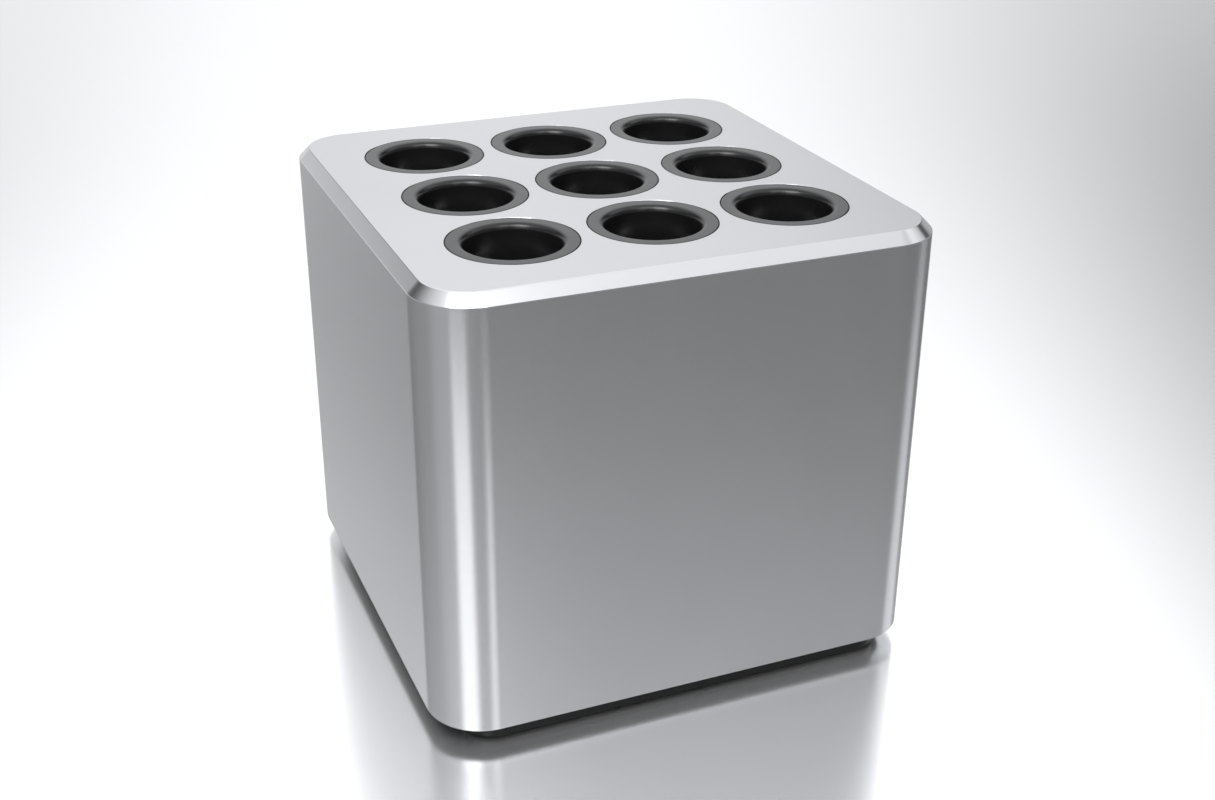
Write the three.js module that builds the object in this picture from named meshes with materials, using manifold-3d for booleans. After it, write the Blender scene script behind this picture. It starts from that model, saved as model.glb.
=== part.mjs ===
// Dry block heater: an aluminium cube with nine collared tube wells in its deck, a heated block
// inside, and a recessed control bay in its rear wall.
// Millimetres. +Z is up, -Y is the front, and the origin is on the bench under the middle.

import * as THREE from "three";
import { mergeVertices } from "three/addons/utils/BufferGeometryUtils.js";
import Module from "manifold-3d";

const wasm = await Module();
wasm.setup();

// Driving dimensions

const WIDTH = 100; // the housing's side, in X and in Y
const HEIGHT = 90; // bench to deck
const CORNER_R = 11; // upright edges of the housing
const DECK_CHAMFER = 2.1;
const WALL = 3;
const DECK = 5; // thickness of the housing's top
const SHADOW_GAP = 3.5; // bench to the housing's lower edge
const BASE_INSET = { side: 6, end: 2 }; // from the housing's side faces, and from its front and rear, to the plinth
const GAP = 0.3; // between pieces that touch
const CLEARANCE = 0.35; // added to a radius where a round piece passes through

const WELL_PITCH = 27;
const WELL_R = 8.7; // takes a 17 mm tube
const WELL_TIP = 34.5; // height of the lowest point of a well's drill-point bottom
const WELL_TIP_HEIGHT = 5.2;
const COLLAR = { flangeR: 12, flange: 1.1, neckR: 10.5, boreR: 8.8, lipR: 1.3 };

const BLOCK_SIDE = 78;
const BLOCK_R = 4;
const BLOCK_CHAMFER = 0.8;
const BLOCK_BOTTOM = 31;
const BLOCK_TOP = 80;
const SHEET_SIDE = 70; // heater mat, and the pad under it
const SHEET_R = 3;
const MAT_BOTTOM = 29.5;
const TRAY_SIDE = 90;
const TRAY_R = 6;
const TRAY_BOTTOM = 24;
const TRAY_TOP = 25.5;
const TRAY_NOTCH = 37; // the tray stops here behind the control bay
const LUG_INNER = 35.5; // the corner lugs start this far from the middle
const LUG_TOP = 30.5;
const SPACER_R = 3.5;

const FOOT = { r: 6, proud: 0.4, pocket: 1.8, bevel: 0.6 };
const PLINTH_R = 6;
const PLINTH_TOP = 3.8;
const BASE_TOP = 6.3;
const BASE_POCKET = { side: 66, r: 2.5 };
const STANDOFF = { acrossFlats: 5.5, studR: 1.2, studTop: 29.8, boreTop: 15 };
const VENT = { length: 26, width: 2.4, pitch: 6 };

const M3 = { shankR: 1.4, holeR: 1.75, headR: 2.8, headHeight: 2.2, socket: 2, socketDepth: 1.2 };
const M2 = { shankR: 0.9, holeR: 1.25, headR: 1.9, headHeight: 1.2, socket: 1.3, socketDepth: 0.7 };

const BOARD = { x: [-30, 30], y: [-34, 16], z: [10.5, 12.1] };
const BOARD_SEAT = BOARD.z[1] + GAP;
const PIN_R = 1.1;
const PINS = [[-27, -31], [27, -31], [-27, 13], [27, 13]];

// Places in plan, from the middle
const CORNERS = [[-1, -1], [1, -1], [1, 1], [-1, 1]];
const ROWS = [-1, 0, 1];
const WELLS = ROWS.flatMap((row) => ROWS.map((column) => [column * WELL_PITCH, row * WELL_PITCH]));
const CORNER_SCREWS = atCorners(39.5, 39.5);
const BLOCK_SCREWS = atCorners(13.5, 29);
const FEET = atCorners(28, 28);
const PROBE = [13.5, 13.5];
const CUTOUT = [-13.5, 13.5];
const HEATER_EXIT = [-13.5, -13.5];

// The control bay has a frame of its own at the rear face: x to the right of someone facing it,
// y up, z out of the housing, and its origin in the middle of the opening.
const BAY = { width: 66, height: 19, r: 2.5, centre: 17, depth: 10, wall: 1.5 };
const PANEL = { width: 61.8, height: 14.8, r: 1.2, thickness: 1.5, face: -5.2 };
const PANEL_BACK = PANEL.face - PANEL.thickness;
const FITTING_SEAT = PANEL.face + GAP; // undersides of the flanges that lie on the panel
const NUT_SEAT = PANEL_BACK - GAP;
const PANEL_SCREW_X = 28.8;
const INLET = { x: -20, r: 4, flangeR: 5.5, boreR: 2.9, pinR: 1 };
const SWITCH = { x: -2.5, width: 12.4, height: 9.4, bezelWidth: 15, bezelHeight: 11, pivot: -6 };
const ROCKER = { half: 4.8, thickness: 6.8, face: 2.9, tilt: THREE.MathUtils.degToRad(11) };
const KNOB = { x: 13.5, r: 5.5, flute: 0.45, flutes: 12, front: -0.2 };
const KNOB_REST = THREE.MathUtils.degToRad(135); // the pointer rests at half past seven, from straight up
const BUSH_R = 3;
const SHAFT_R = 1.6;
const LENS = { x: 24, y: 2.8, r: 1.5, flangeR: 2.1, dome: 1.2 };

// Sides of round pieces, and curve steps of corners: each step is two facets
const FINE = 20;
const ROUND = 12;
const SMALL = 8;
const CORNER_STEPS = 3;
const SMALL_STEPS = 1;

// Materials

const ANODISED = material(0xb9bbbe, 0.38, 0.95);
const BLOCK_METAL = material(0x9b9da0, 0.5, 0.95);
const STEEL = material(0x8d8f92, 0.35, 1);
const BRASS = material(0xb59a5a, 0.35, 1);
const COLLAR_PLASTIC = material(0x3a3b3c, 0.35, 0);
const BLACK_PLASTIC = material(0x1b1b1c, 0.5, 0);
const PANEL_BLACK = material(0x26272a, 0.45, 0.5);
const RUBBER = material(0x141414, 0.85, 0);
const FIBRE = material(0xd8d2c2, 0.95, 0);
const SILICONE = material(0xb5552f, 0.7, 0);
const CIRCUIT = material(0x1f5b3a, 0.5, 0);
const GREEN_LENS = material(0x3fae55, 0.2, 0);
const AMBER_LENS = material(0xe08a2c, 0.2, 0);
const CABLE = material(0x8c1f1f, 0.6, 0);
const CERAMIC = material(0xe6e2d8, 0.6, 0);

function material(color, roughness, metalness) {
  return new THREE.MeshStandardMaterial({ color, roughness, metalness, flatShading: true });
}

// Solids, nodes and places

function solid(geometry) {
  geometry.deleteAttribute("normal");
  geometry.deleteAttribute("uv");
  const merged = mergeVertices(geometry);
  const vertProperties = new Float32Array(merged.attributes.position.array);
  const triVerts = new Uint32Array(merged.index.array);
  return new wasm.Manifold(new wasm.Mesh({ numProp: 3, vertProperties, triVerts }));
}

function slab([x0, x1], [y0, y1], [z0, z1]) {
  const geometry = new THREE.BoxGeometry(x1 - x0, y1 - y0, z1 - z0);
  geometry.translate((x0 + x1) / 2, (y0 + y1) / 2, (z0 + z1) / 2);
  return solid(geometry);
}

function rod(radius, [z0, z1], sides, [x, y] = [0, 0]) {
  const geometry = new THREE.CylinderGeometry(radius, radius, z1 - z0, sides);
  geometry.rotateX(Math.PI / 2);
  geometry.translate(x, y, (z0 + z1) / 2);
  return solid(geometry);
}

function hexagon(acrossFlats, heights) {
  return rod(acrossFlats / Math.sqrt(3), heights, 6);
}

// A solid turned about a line along Z, from [radius, height] points that run up its outside.
function turned(profile, sides, [x, y] = [0, 0]) {
  const points = profile.map(([r, z]) => new THREE.Vector2(r, z));
  const geometry = new THREE.LatheGeometry(points, sides);
  geometry.rotateX(Math.PI / 2);
  geometry.translate(x, y, 0);
  return solid(geometry);
}

function extruded(outline, [z0, z1], steps) {
  const options = { depth: z1 - z0, bevelEnabled: false, curveSegments: steps };
  const geometry = new THREE.ExtrudeGeometry(outline, options);
  geometry.translate(0, 0, z0);
  return solid(geometry);
}

function roundedRectangle(width, height, radius) {
  const [x, y] = [width / 2 - radius, height / 2 - radius];
  const quarter = Math.PI / 2;
  const outline = new THREE.Shape();
  outline.moveTo(-x, -y - radius);
  outline.absarc(x, -y, radius, -quarter, 0);
  outline.absarc(x, y, radius, 0, quarter);
  outline.absarc(-x, y, radius, quarter, 2 * quarter);
  outline.absarc(-x, -y, radius, 2 * quarter, 3 * quarter);
  outline.closePath();
  return outline;
}

function plate(width, depth, radius, heights, steps = CORNER_STEPS) {
  return extruded(roundedRectangle(width, depth, radius), heights, steps);
}

// A rounded square prism whose upper edge is chamfered.
function chamferedBlock(side, radius, [z0, z1], chamfer) {
  const loops = [[z0, 0], [z1 - chamfer, 0], [z1, chamfer]].map(([z, inset]) => {
    const outline = roundedRectangle(side - 2 * inset, side - 2 * inset, radius - inset);
    return outline.getPoints(CORNER_STEPS).slice(0, -1).map((p) => [p.x, p.y, z]);
  });
  const count = loops[0].length;
  const triangles = [];
  for (let level = 0; level + 1 < loops.length; level++) {
    for (let i = 0; i < count; i++) {
      const a = level * count + i;
      const b = level * count + ((i + 1) % count);
      triangles.push(a, b, b + count, a, b + count, a + count);
    }
  }
  const top = (loops.length - 1) * count;
  for (let i = 1; i + 1 < count; i++) {
    triangles.push(0, i + 1, i, top, top + i, top + i + 1);
  }
  const geometry = new THREE.BufferGeometry();
  geometry.setAttribute("position", new THREE.Float32BufferAttribute(loops.flat(2), 3));
  geometry.setIndex(triangles);
  return solid(geometry);
}

// A socket screw whose head stands on z = 0 and whose shank runs down to -length.
function screw(size, length) {
  const head = turned([
    [0, -1],
    [size.shankR, -1],
    [size.shankR, 0],
    [size.headR, 0],
    [size.headR, size.headHeight - 0.3],
    [size.headR - 0.3, size.headHeight],
    [0, size.headHeight],
  ], ROUND);
  const socket = hexagon(size.socket, [size.headHeight - size.socketDepth, size.headHeight + 1]);
  return cut(join(head, rod(size.shankR, [-length, -0.5], SMALL)), socket);
}

function lead(points, radius) {
  const path = new THREE.CatmullRomCurve3(points.map((p) => new THREE.Vector3(...p)));
  const section = new THREE.Shape();
  section.absarc(0, 0, radius, 0, 2 * Math.PI);
  const options = { steps: 4 * (points.length - 1), curveSegments: 4, extrudePath: path };
  return solid(new THREE.ExtrudeGeometry(section, options));
}

function join(first, ...others) {
  return others.reduce((whole, piece) => whole.add(piece), first);
}

function cut(first, ...tools) {
  return tools.reduce((whole, tool) => whole.subtract(tool), first);
}

function beyond([low, high], margin = 1) {
  return [low - margin, high + margin];
}

function around(middle, half) {
  return [middle - half, middle + half];
}

function holes(places, radius, heights, sides = SMALL) {
  return places.map((at) => rod(radius, beyond(heights), sides, at));
}

function atCorners(x, y) {
  return CORNERS.map(([i, j]) => [i * x, j * y]);
}

function node(name, shape, finish, [x, y, z] = [0, 0, 0]) {
  const mesh = shape.getMesh();
  const positions = new Float32Array(mesh.vertProperties);
  const geometry = new THREE.BufferGeometry();
  geometry.setAttribute("position", new THREE.BufferAttribute(positions, 3));
  geometry.setIndex(new THREE.BufferAttribute(new Uint32Array(mesh.triVerts), 1));
  const piece = new THREE.Mesh(geometry, finish);
  piece.name = name;
  piece.position.set(x, y, z);
  return piece;
}

function copies(name, shape, finish, places) {
  return places.map(([x, y], i) => node(name + "_" + (i + 1), shape, finish, [x, y, 0]));
}

function group(...pieces) {
  return new THREE.Group().add(...pieces);
}

// Housing and collars

function housing() {
  const inner = WIDTH - 2 * WALL;
  const roof = HEIGHT - DECK;
  const seat = HEIGHT - COLLAR.flange - GAP;
  const hollow = plate(inner, inner, CORNER_R - WALL, [SHADOW_GAP - 1, roof]);
  const body = chamferedBlock(WIDTH, CORNER_R, [SHADOW_GAP, HEIGHT], DECK_CHAMFER);
  return cut(
    body,
    cut(hollow, ...CORNERS.map(cornerLug)),
    bayOpening(),
    ...holes(CORNER_SCREWS, STANDOFF.studR + CLEARANCE, [TRAY_TOP, LUG_TOP]),
    ...holes(WELLS, COLLAR.neckR + GAP, [roof, HEIGHT], FINE),
    ...WELLS.map((at) => rod(COLLAR.flangeR + GAP, [seat, HEIGHT + 1], FINE, at)),
  );
}

function cornerLug([i, j]) {
  const middle = (LUG_INNER + WIDTH / 2) / 2;
  const half = middle - LUG_INNER;
  return slab(around(i * middle, half), around(j * middle, half), [TRAY_TOP + GAP, LUG_TOP]);
}

function bayOpening() {
  const outline = roundedRectangle(BAY.width, BAY.height, BAY.r);
  const options = { depth: 2 * WALL, bevelEnabled: false, curveSegments: SMALL_STEPS };
  const opening = new THREE.ExtrudeGeometry(outline, options);
  opening.rotateX(Math.PI / 2);
  opening.translate(0, WIDTH / 2 + WALL / 2, BAY.centre);
  return solid(opening);
}

function wellCollar() {
  const foot = BLOCK_TOP + GAP;
  const flangeBottom = HEIGHT - COLLAR.flange;
  const lip = [Math.PI / 4, 0].map((angle) => [
    COLLAR.boreR + COLLAR.lipR * (1 - Math.cos(angle)),
    HEIGHT - COLLAR.lipR * (1 - Math.sin(angle)),
  ]);
  return turned([
    [COLLAR.boreR, foot],
    [COLLAR.neckR, foot],
    [COLLAR.neckR, flangeBottom],
    [COLLAR.flangeR, flangeBottom],
    [COLLAR.flangeR, HEIGHT],
    [COLLAR.boreR + COLLAR.lipR, HEIGHT],
    ...lip,
    [COLLAR.boreR, foot],
  ], FINE);
}

// Heated block and what holds it

function well(at) {
  return turned([
    [0, WELL_TIP],
    [WELL_R, WELL_TIP + WELL_TIP_HEIGHT],
    [WELL_R, BLOCK_TOP + 1],
    [0, BLOCK_TOP + 1],
  ], FINE, at);
}

function heaterBlock() {
  const probeBore = [BLOCK_BOTTOM, 53];
  const tapped = [BLOCK_BOTTOM, 40];
  return cut(
    chamferedBlock(BLOCK_SIDE, BLOCK_R, [BLOCK_BOTTOM, BLOCK_TOP], BLOCK_CHAMFER),
    ...WELLS.map(well),
    ...holes([PROBE], 2 + CLEARANCE, probeBore),
    ...holes(BLOCK_SCREWS, M3.holeR, tapped),
  );
}

function topInsulation() {
  const heights = [BLOCK_TOP + GAP, HEIGHT - DECK - GAP];
  const board = plate(BLOCK_SIDE, BLOCK_SIDE, BLOCK_R, heights, SMALL_STEPS);
  return cut(board, ...holes(WELLS, COLLAR.neckR + GAP, heights, FINE));
}

function insulationWrap() {
  const heights = [LUG_TOP + GAP, HEIGHT - DECK - GAP];
  const outer = WIDTH - 2 * WALL - 2 * GAP;
  const inner = BLOCK_SIDE + 2 * GAP;
  const hollow = plate(inner, inner, BLOCK_R, beyond(heights));
  return cut(plate(outer, outer, CORNER_R - WALL, heights), hollow);
}

// A sheet under the block, with holes for the spacers, the probe and the cut-out.
function sheetUnderBlock(heights) {
  return cut(
    plate(SHEET_SIDE, SHEET_SIDE, SHEET_R, heights, SMALL_STEPS),
    ...holes(BLOCK_SCREWS, SPACER_R + GAP, heights),
    ...holes([PROBE], 2.5, heights),
    ...holes([CUTOUT], 5.6, heights, ROUND),
  );
}

function insulationPad() {
  const heights = [TRAY_TOP + GAP, MAT_BOTTOM - GAP];
  return cut(sheetUnderBlock(heights), ...holes([HEATER_EXIT], 2.5, heights));
}

function blockTray() {
  const heights = [TRAY_BOTTOM, TRAY_TOP];
  return cut(
    plate(TRAY_SIDE, TRAY_SIDE, TRAY_R, heights, SMALL_STEPS),
    slab(around(0, LUG_INNER), [TRAY_NOTCH, WIDTH], beyond(heights)),
    ...holes([...CORNER_SCREWS, ...BLOCK_SCREWS], M3.holeR, heights),
    ...holes([PROBE, CUTOUT, HEATER_EXIT], 3, heights),
  );
}

function blockSpacer() {
  const heights = [TRAY_TOP + GAP, BLOCK_BOTTOM - GAP];
  return cut(rod(SPACER_R, heights, SMALL), ...holes([[0, 0]], M3.holeR, heights));
}

function blockScrew() {
  return screw(M3, 14).rotate([180, 0, 0]).translate([0, 0, TRAY_BOTTOM - GAP]);
}

function cornerStandoff() {
  const bottom = BASE_TOP + GAP;
  const shoulder = TRAY_BOTTOM - GAP;
  const stud = rod(STANDOFF.studR, [shoulder - 1, STANDOFF.studTop], SMALL);
  const bore = rod(M3.holeR, [bottom - 1, STANDOFF.boreTop], SMALL);
  return cut(join(hexagon(STANDOFF.acrossFlats, [bottom, shoulder]), stud), bore);
}

function temperatureProbe() {
  return turned([[0, 27.2], [2, 27.2], [2, 50.8], [1.4, 52], [0, 52]], SMALL);
}

function thermalCutout() {
  const can = turned([[0, 26.4], [3.2, 26.4], [3.2, 28], [5, 28], [5, 30.7], [0, 30.7]], ROUND);
  const tabs = [-4.2, 4.2].map((x) => slab(around(x, 0.4), around(0, 1.2), [26, 28.5]));
  return join(can, ...tabs);
}

// Base

function basePlate() {
  const plinth = WIDTH - 2 * BASE_INSET.side;
  const plinthDepth = WIDTH - 2 * BASE_INSET.end;
  const tongue = WIDTH - 2 * WALL - 2 * GAP;
  const floor = [0, PLINTH_TOP];
  const ventRows = [-2, -1, 0, 1, 2].map((i) => i * VENT.pitch);
  const pegs = PINS.flatMap((at) => [
    rod(2.5, [PLINTH_TOP - 0.5, BOARD.z[0] - GAP], SMALL, at),
    rod(PIN_R, beyond(BOARD.z), SMALL, at),
  ]);
  const body = cut(
    join(
      plate(plinth, plinthDepth, PLINTH_R, [FOOT.proud, SHADOW_GAP - GAP]),
      plate(plinth, plinth, CORNER_R - BASE_INSET.side, [FOOT.proud + 1, PLINTH_TOP + 1]),
      plate(tongue, tongue, CORNER_R - WALL, [PLINTH_TOP, BASE_TOP]),
    ),
    plate(BASE_POCKET.side, BASE_POCKET.side, BASE_POCKET.r, [PLINTH_TOP, BASE_TOP + 1], SMALL_STEPS),
    ...FEET.map((at) => rod(FOOT.r + GAP, [0, FOOT.proud + FOOT.pocket], ROUND, at)),
    ...CORNER_SCREWS.map(countersink),
    ...ventRows.map((y) => slab(around(0, VENT.length / 2), around(y, VENT.width / 2), beyond(floor))),
  );
  return join(body, ...pegs);
}

function countersink(at) {
  const mouth = M3.headR + 1.1;
  return turned([[0, 0], [mouth, 0], [M3.holeR, 2.6], [M3.holeR, 10], [0, 10]], SMALL, at);
}

function baseScrew() {
  const flat = FOOT.proud;
  const cone = [[0, flat], [M3.headR, flat], [M3.shankR, flat + 1.5], [M3.shankR, 13], [0, 13]];
  return cut(turned(cone, SMALL), hexagon(M3.socket, [flat - 1, flat + M3.socketDepth]));
}

function foot() {
  const top = FOOT.proud + FOOT.pocket - GAP;
  return turned([[0, 0], [FOOT.r - FOOT.bevel, 0], [FOOT.r, FOOT.bevel], [FOOT.r, top], [0, top]], ROUND);
}

// Electronics on the controller board

function controllerBoard() {
  const onBoard = (height) => [BOARD.z[1] - 0.4, BOARD.z[1] + height];
  return cut(
    join(
      slab(BOARD.x, BOARD.y, BOARD.z),
      slab([4, 12], [-8, 0], onBoard(1.2)),
      slab([-8, -3], [-30, -26], onBoard(1.5)),
      slab([-28, -21], [-11, -4], onBoard(4)),
    ),
    ...holes(PINS, PIN_R + CLEARANCE, BOARD.z),
  );
}

function heatSink() {
  const slots = [-7.2, -2.4, 2.4, 7.2].map((x) => slab(around(x, 1.4), [-31, -23], [0, 30]));
  return cut(slab([-12, 12], [-30, -20], [BOARD_SEAT, 20.5]), ...slots);
}

function powerTransistor() {
  const bottom = BOARD_SEAT + 1.5;
  const tab = slab([-5, 5], [-19.7, -18.5], [bottom, 20.3]);
  const legs = [-2.5, 0, 2.5].map((x) => slab(around(x, 0.4), [-17.7, -17], [BOARD_SEAT, bottom + 1]));
  return join(slab([-5, 5], [-18.8, -15.4], [bottom, bottom + 5]), tab, ...legs);
}

function inputCapacitor() {
  return turned([[0, BOARD_SEAT], [4, BOARD_SEAT], [4, 21.6], [3.6, 22], [0, 22]], ROUND);
}

function terminalBlock() {
  const mouths = [-23, -18, -13].map((x) => slab(around(x, 1.4), [-22, -18], [14, 17]));
  return cut(slab([-26, -10], [-21, -12], [BOARD_SEAT, 20]), ...mouths);
}

// Control bay, in the bay's own frame

function rearShroud() {
  const back = -BAY.depth;
  const ledge = PANEL_BACK - GAP;
  const [width, height] = [BAY.width - 2 * GAP, BAY.height - 2 * GAP];
  const flange = [ledge + 1.2, -WALL - GAP];
  return cut(
    join(
      plate(width, height, BAY.r - GAP, [back, -0.1], SMALL_STEPS),
      plate(BAY.width + 4.4, BAY.height + 2.2, BAY.r, flange, SMALL_STEPS),
    ),
    plate(width - 2 * BAY.wall, height - 2 * BAY.wall, PANEL.r + GAP, [ledge, 1], SMALL_STEPS),
    plate(54, 12, 1, [back - 1, ledge + 1], SMALL_STEPS),
    ...holes([[-PANEL_SCREW_X, 0], [PANEL_SCREW_X, 0]], M2.holeR, [back, ledge]),
  );
}

function rearPanel() {
  const heights = [PANEL_BACK, PANEL.face];
  return cut(
    plate(PANEL.width, PANEL.height, PANEL.r, heights, SMALL_STEPS),
    slab(around(SWITCH.x, SWITCH.width / 2 + GAP), around(0, SWITCH.height / 2 + GAP), beyond(heights)),
    ...holes([[INLET.x, 0]], INLET.r + CLEARANCE, heights, ROUND),
    ...holes([[KNOB.x, 0]], BUSH_R + CLEARANCE, heights, ROUND),
    ...holes([[LENS.x, LENS.y], [LENS.x, -LENS.y]], LENS.r + CLEARANCE, heights),
    ...holes([[-PANEL_SCREW_X, 0], [PANEL_SCREW_X, 0]], M2.holeR, heights),
  );
}

function panelScrew() {
  return screw(M2, 4.4).translate([0, 0, FITTING_SEAT]);
}

function dcInlet() {
  const front = FITTING_SEAT + 1.8;
  const shell = turned([
    [0, -20],
    [INLET.r, -20],
    [INLET.r, FITTING_SEAT],
    [INLET.flangeR, FITTING_SEAT],
    [INLET.flangeR, front - 0.4],
    [INLET.flangeR - 0.4, front],
    [0, front],
  ], ROUND);
  const pin = turned([
    [0, -15],
    [INLET.pinR, -15],
    [INLET.pinR, front - 2.3],
    [INLET.pinR - 0.4, front - 1.8],
    [0, front - 1.8],
  ], SMALL);
  const tabs = [-2, 2].map((x) => slab(around(x, 0.4), around(0, 1.2), [-25, -19.5]));
  return join(cut(shell, rod(INLET.boreR, [-14, 0], ROUND)), pin, ...tabs);
}

function inletNut() {
  const heights = [NUT_SEAT - 2.4, NUT_SEAT];
  return cut(hexagon(10, heights), ...holes([[0, 0]], INLET.r + CLEARANCE, heights, ROUND));
}

function switchBody() {
  const bezel = plate(SWITCH.bezelWidth, SWITCH.bezelHeight, 1, [FITTING_SEAT, FITTING_SEAT + 1.4], SMALL_STEPS);
  const box = slab(around(0, SWITCH.width / 2), around(0, SWITCH.height / 2), [-17, FITTING_SEAT + 0.5]);
  const pocket = slab(around(0, ROCKER.half + 1), around(0, ROCKER.thickness / 2 + 0.4), [-12, 0]);
  const blades = [-4, 4].map((x) => slab(around(x, 0.4), around(0, 2.2), [-22, -16.5]));
  return join(cut(join(bezel, box), pocket, pivotPin(1.1, 12)), ...blades);
}

// A cylinder along y through the rocker's pivot.
function pivotPin(radius, length) {
  const geometry = new THREE.CylinderGeometry(radius, radius, length, SMALL);
  return solid(geometry.translate(0, 0, SWITCH.pivot));
}

// Two faces meet in a shallow V, so that the pressed half lies level with the bezel.
function switchRocker() {
  const { half, face, thickness, tilt } = ROCKER;
  const outline = new THREE.Shape();
  outline.moveTo(-half, face + half * Math.tan(tilt));
  outline.lineTo(-half, -1);
  outline.lineTo(-half / 2, -3.6);
  outline.lineTo(half / 2, -3.6);
  outline.lineTo(half, -1);
  outline.lineTo(half, face + half * Math.tan(tilt));
  outline.lineTo(0, face);
  outline.closePath();
  const wedge = new THREE.ExtrudeGeometry(outline, { depth: thickness, bevelEnabled: false });
  wedge.translate(0, 0, -thickness / 2);
  wedge.rotateX(Math.PI / 2);
  const trunnions = new THREE.CylinderGeometry(0.8, 0.8, thickness + 2, SMALL);
  return join(solid(wedge), solid(trunnions));
}

function potentiometerBody() {
  const can = slab(around(0, 5), around(0, 5.2), [NUT_SEAT - 6.5, NUT_SEAT]);
  const bush = rod(BUSH_R, [NUT_SEAT - 1, PANEL.face + 1.5], ROUND);
  const legs = [-2.5, 0, 2.5].map((x) => slab(around(x, 0.4), [-8, -5], around(NUT_SEAT - 3.7, 0.3)));
  return cut(join(can, bush, ...legs), rod(SHAFT_R + CLEARANCE, [NUT_SEAT - 6, 0], SMALL));
}

function potentiometerShaft() {
  const flat = slab([0.9, 3], [-3, 3], [-4, 0]);
  return cut(rod(SHAFT_R, [NUT_SEAT - 5, -1.2], SMALL), flat);
}

function temperatureKnob() {
  const skirt = PANEL.face + 0.5;
  const outline = new THREE.Shape();
  outline.setFromPoints(flutedPoints(KNOB.r, KNOB.flute, KNOB.flutes));
  return cut(
    extruded(outline, [skirt, KNOB.front], SMALL_STEPS),
    rod(BUSH_R + 0.6, [skirt - 1, skirt + 1.4], ROUND),
    rod(SHAFT_R + CLEARANCE, [skirt, KNOB.front - 0.7], SMALL),
    slab(around(0, 0.4), [1, KNOB.r + 1], [KNOB.front - 0.5, 1]),
  );
}

function flutedPoints(radius, depth, flutes) {
  return Array.from({ length: 3 * flutes }, (_, i) => {
    const angle = (2 * Math.PI * i) / (3 * flutes);
    const r = i % 3 === 0 ? radius - depth : radius;
    return new THREE.Vector2(r * Math.cos(angle), r * Math.sin(angle));
  });
}

function lens() {
  const dome = [Math.PI / 3, Math.PI / 6, 0].map((angle) => [
    LENS.r * Math.sin(angle),
    PANEL.face + LENS.dome * Math.cos(angle),
  ]);
  return turned([
    [0, NUT_SEAT - 4],
    [LENS.r, NUT_SEAT - 4],
    [LENS.r, NUT_SEAT - 1],
    [LENS.flangeR, NUT_SEAT - 1],
    [LENS.flangeR, NUT_SEAT],
    [LENS.r, NUT_SEAT],
    [LENS.r, PANEL.face],
    ...dome,
  ], SMALL);
}

// Assembly

function outerShell() {
  return group(
    node("housing", housing(), ANODISED),
    ...copies("well_collar", wellCollar(), COLLAR_PLASTIC, WELLS),
  );
}

function heatedCore() {
  const mat = sheetUnderBlock([MAT_BOTTOM, BLOCK_BOTTOM - GAP]);
  return group(
    node("heater_block", heaterBlock(), BLOCK_METAL),
    node("top_insulation", topInsulation(), FIBRE),
    node("insulation_wrap", insulationWrap(), FIBRE),
    node("heater_mat", mat, SILICONE),
    node("insulation_pad", insulationPad(), FIBRE),
    node("block_tray", blockTray(), STEEL),
    ...copies("block_spacer", blockSpacer(), CERAMIC, BLOCK_SCREWS),
    ...copies("block_screw", blockScrew(), STEEL, BLOCK_SCREWS),
    ...copies("corner_standoff", cornerStandoff(), BRASS, CORNER_SCREWS),
    node("temperature_probe", temperatureProbe(), STEEL, [...PROBE, 0]),
    node("thermal_cutout", thermalCutout(), BLACK_PLASTIC, [...CUTOUT, 0]),
  );
}

function base() {
  return group(
    node("base_plate", basePlate(), BLACK_PLASTIC),
    ...copies("base_screw", baseScrew(), STEEL, CORNER_SCREWS),
    ...copies("foot", foot(), RUBBER, FEET),
  );
}

function electronics() {
  return group(
    node("controller_board", controllerBoard(), CIRCUIT),
    node("heat_sink", heatSink(), PANEL_BLACK, [14, 0, 0]),
    node("power_transistor", powerTransistor(), BLACK_PLASTIC, [14, 0, 0]),
    node("input_capacitor", inputCapacitor(), BLACK_PLASTIC, [-20, 4, 0]),
    node("terminal_block", terminalBlock(), CIRCUIT),
    ...leads(),
  );
}

function leads() {
  const [hx, hy] = HEATER_EXIT;
  const [px, py] = PROBE;
  const end = BOARD_SEAT + GAP;
  const fromMat = [[hx, hy, 29], [hx, hy, 26], [hx - 0.8, hy - 0.8, 23.5], [hx - 2, hy - 2, 20.6]];
  const fromProbe = [[px, py, 26.8], [px, py, 23], [px - 2, py - 3, 18], [px - 3, py - 5, 15], [px - 3, py - 5, end]];
  const fromInlet = [[20, 24.4, 17], [20, 21, 17], [20, 14, 16], [20, 11.5, 14.5], [20, 11.5, end]];
  return [
    node("heater_lead", lead(fromMat, 1.3), CABLE),
    node("probe_lead", lead(fromProbe, 0.9), CABLE),
    node("power_lead", lead(fromInlet, 1.1), CABLE),
  ];
}

function switchAssembly() {
  const rocker = node("switch_rocker", switchRocker(), BLACK_PLASTIC, [0, 0, SWITCH.pivot]);
  rocker.rotation.y = ROCKER.tilt;
  const assembly = group(node("switch_body", switchBody(), BLACK_PLASTIC), rocker);
  assembly.position.x = SWITCH.x;
  return assembly;
}

// The knob and the shaft that it turns, at their lowest setting.
function temperatureDial() {
  const dial = group(
    node("potentiometer_shaft", potentiometerShaft(), STEEL),
    node("temperature_knob", temperatureKnob(), BLACK_PLASTIC),
  );
  dial.rotation.z = KNOB_REST;
  dial.position.x = KNOB.x;
  return dial;
}

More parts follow.
